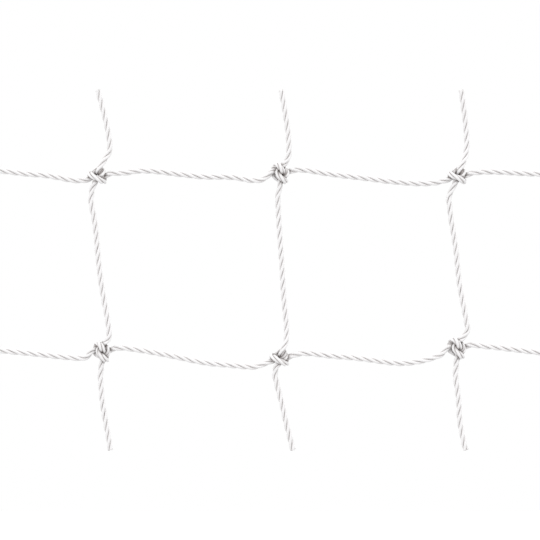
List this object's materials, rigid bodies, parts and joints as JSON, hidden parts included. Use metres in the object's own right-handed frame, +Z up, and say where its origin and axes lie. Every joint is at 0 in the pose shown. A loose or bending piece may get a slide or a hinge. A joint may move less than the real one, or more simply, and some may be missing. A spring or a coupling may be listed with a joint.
{
  "type": "tennis netting",
  "caption": "Knotted square-mesh tennis netting of white twisted twine, cut free on all four sides, hung from the ends of its upper legs.",
  "frame": {"origin": "centre of the cut end at the top of the middle column of twine", "axes": "+Z up along the columns, +X along the rows, +Y through the netting, away from the viewer"},
  "size_m": [0.138, 0.0052, 0.0909],
  "materials": {
    "white_twine": "satin twisted polyethylene filaments"
  },
  "bodies": {
    "top_legs": {"twine_c_top_leg": "white_twine", "twine_d_top_leg": "white_twine", "twine_e_top_leg": "white_twine"},
    "upper_row": {"twine_b_upper_knot_turn": "white_twine", "twine_c_upper_bar": "white_twine", "twine_d_upper_bar": "white_twine", "twine_e_upper_knot_turn": "white_twine"},
    "middle_leg_1_top": {"twine_b_middle_leg_top": "white_twine"},
    "middle_leg_1_foot": {"twine_b_middle_leg_foot": "white_twine"},
    "middle_leg_2": {"twine_c_middle_leg": "white_twine"},
    "middle_leg_3_top": {"twine_d_middle_leg_top": "white_twine"},
    "middle_leg_3_foot": {"twine_d_middle_leg_foot": "white_twine"},
    "lower_row": {"twine_a_lower_knot_turn": "white_twine", "twine_b_lower_bar": "white_twine", "twine_c_lower_bar": "white_twine", "twine_d_lower_knot_turn": "white_twine"},
    "bottom_legs": {"twine_a_bottom_leg": "white_twine", "twine_b_bottom_leg": "white_twine", "twine_c_bottom_leg": "white_twine"},
    "upper_left_end": {"twine_b_left_end": "white_twine"},
    "lower_left_end": {"twine_a_left_end": "white_twine"},
    "upper_right_end": {"twine_e_right_end": "white_twine"},
    "lower_right_end": {"twine_d_right_end": "white_twine"}
  },
  "joints": [
    {"name": "netting_swing", "type": "hinge", "parent": "top_legs", "child": "upper_row", "pos_m": [0, 0, -0.0152], "axis": [1, 0, 0], "range_deg": [-110, 110]},
    {"name": "middle_leg_2_swing", "type": "hinge", "parent": "upper_row", "child": "middle_leg_2", "pos_m": [-0.0016, 0, -0.0274], "axis": [0, 1, 0], "range_deg": [-60, 60]},
    {"name": "middle_leg_1_top_swing", "type": "hinge", "parent": "upper_row", "child": "middle_leg_1_top", "pos_m": [-0.0475, 0, -0.0274], "axis": [0, 1, 0], "range_deg": [-60, 60]},
    {"name": "middle_leg_3_top_swing", "type": "hinge", "parent": "upper_row", "child": "middle_leg_3_top", "pos_m": [0.04255, 0, -0.0274], "axis": [0, 1, 0], "range_deg": [-60, 60]},
    {"name": "lower_row_swing", "type": "hinge", "parent": "middle_leg_2", "child": "lower_row", "pos_m": [0.0021, 0, -0.0602], "axis": [0, 1, 0], "range_deg": [-60, 60]},
    {"name": "middle_leg_1_foot_swing", "type": "hinge", "parent": "lower_row", "child": "middle_leg_1_foot", "pos_m": [-0.0438, 0, -0.0602], "axis": [0, 1, 0], "range_deg": [-60, 60]},
    {"name": "middle_leg_3_foot_swing", "type": "hinge", "parent": "lower_row", "child": "middle_leg_3_foot", "pos_m": [0.04625, 0, -0.0602], "axis": [0, 1, 0], "range_deg": [-60, 60]},
    {"name": "bottom_legs_swing", "type": "hinge", "parent": "lower_row", "child": "bottom_legs", "pos_m": [0, 0, -0.0734], "axis": [1, 0, 0], "range_deg": [-110, 110]},
    {"name": "upper_left_end_turn", "type": "hinge", "parent": "upper_row", "child": "upper_left_end", "pos_m": [-0.0522, 0, -0.02265], "axis": [0, 0, 1], "range_deg": [-90, 90]},
    {"name": "upper_right_end_turn", "type": "hinge", "parent": "upper_row", "child": "upper_right_end", "pos_m": [0.0504, 0, -0.0206], "axis": [0, 0, 1], "range_deg": [-90, 90]},
    {"name": "lower_left_end_turn", "type": "hinge", "parent": "lower_row", "child": "lower_left_end", "pos_m": [-0.0504, 0, -0.06745], "axis": [0, 0, 1], "range_deg": [-90, 90]},
    {"name": "lower_right_end_turn", "type": "hinge", "parent": "lower_row", "child": "lower_right_end", "pos_m": [0.0516, 0, -0.06445], "axis": [0, 0, 1], "range_deg": [-90, 90]}
  ],
  "couplings": [
    {"joint": "middle_leg_1_top_swing", "follows": "middle_leg_2_swing", "ratio": 1},
    {"joint": "middle_leg_1_foot_swing", "follows": "middle_leg_2_swing", "ratio": 1},
    {"joint": "middle_leg_3_top_swing", "follows": "middle_leg_2_swing", "ratio": 1},
    {"joint": "middle_leg_3_foot_swing", "follows": "middle_leg_2_swing", "ratio": 1},
    {"joint": "lower_row_swing", "follows": "middle_leg_2_swing", "ratio": -1}
  ]
}
